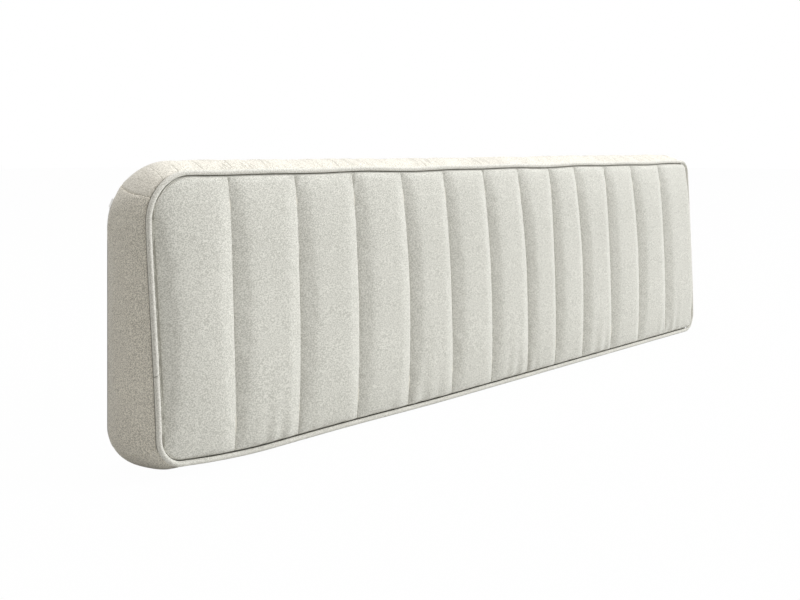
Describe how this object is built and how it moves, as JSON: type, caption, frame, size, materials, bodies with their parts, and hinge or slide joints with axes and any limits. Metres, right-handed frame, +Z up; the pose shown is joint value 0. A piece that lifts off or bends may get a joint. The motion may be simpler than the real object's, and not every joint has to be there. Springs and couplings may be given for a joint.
{
  "type": "channel-quilted headboard cushion",
  "caption": "Wide box-cushion headboard with vertical channel quilting, piped edge, zip-off cover and a flat back.",
  "frame": {"origin": "middle of the flat underside that the headboard stands on", "axes": "+X along the headboard's length, -Y towards the quilted front, +Z up"},
  "size_m": [1.956, 0.182, 0.5339],
  "materials": {
    "front_fabric": "heathered woven upholstery",
    "back_fabric": "plain woven backing",
    "lining_fabric": "thin calico",
    "wadding": "lofted polyester wadding",
    "foam": "open-cell foam",
    "plywood": "raw birch plywood",
    "cord_fibre": "twisted paper cord",
    "zip_tape": "herringbone zip tape",
    "zip_coil": "moulded nylon coil",
    "zip_metal": "satin plated",
    "loop_tape": "brushed loop pile"
  },
  "bodies": {
    "cushion": {"stiffening_board": "plywood", "foam_core": "foam", "quilt_lining": "lining_fabric", "wadding_wrap": "wadding", "piping_cover": "front_fabric", "piping_cord": "cord_fibre", "back_panel": "back_fabric", "zip_tape_outer": "zip_tape", "zip_tape_inner": "zip_tape", "zip_coil_outer": "zip_coil", "zip_coil_inner": "zip_coil", "zip_stop_top": "zip_metal", "zip_stop_end": "zip_metal", "channel_01": "front_fabric", "channel_02": "front_fabric", "channel_03": "front_fabric", "channel_04": "front_fabric", "channel_05": "front_fabric", "channel_06": "front_fabric", "channel_07": "front_fabric", "channel_08": "front_fabric", "channel_09": "front_fabric", "channel_10": "front_fabric", "channel_11": "front_fabric", "channel_12": "front_fabric", "channel_13": "front_fabric", "boxing_top": "front_fabric", "boxing_bottom": "front_fabric", "boxing_left": "front_fabric", "boxing_right": "front_fabric", "loop_tape_1": "loop_tape", "loop_tape_2": "loop_tape", "loop_tape_3": "loop_tape", "loop_tape_4": "loop_tape", "loop_tape_5": "loop_tape"},
    "slider": {"zip_slider": "zip_metal"},
    "pull": {"zip_pull": "zip_metal"}
  },
  "joints": [
    {"name": "zip_slide", "type": "slide", "parent": "cushion", "child": "slider", "axis": [1, 0, 0], "range_m": [-1.7426, 0]},
    {"name": "pull_swing", "type": "hinge", "parent": "slider", "child": "pull", "pos_m": [0.8441, 0.08255, 0.012], "axis": [0, 0, 1], "range_deg": [-180, 0]}
  ]
}
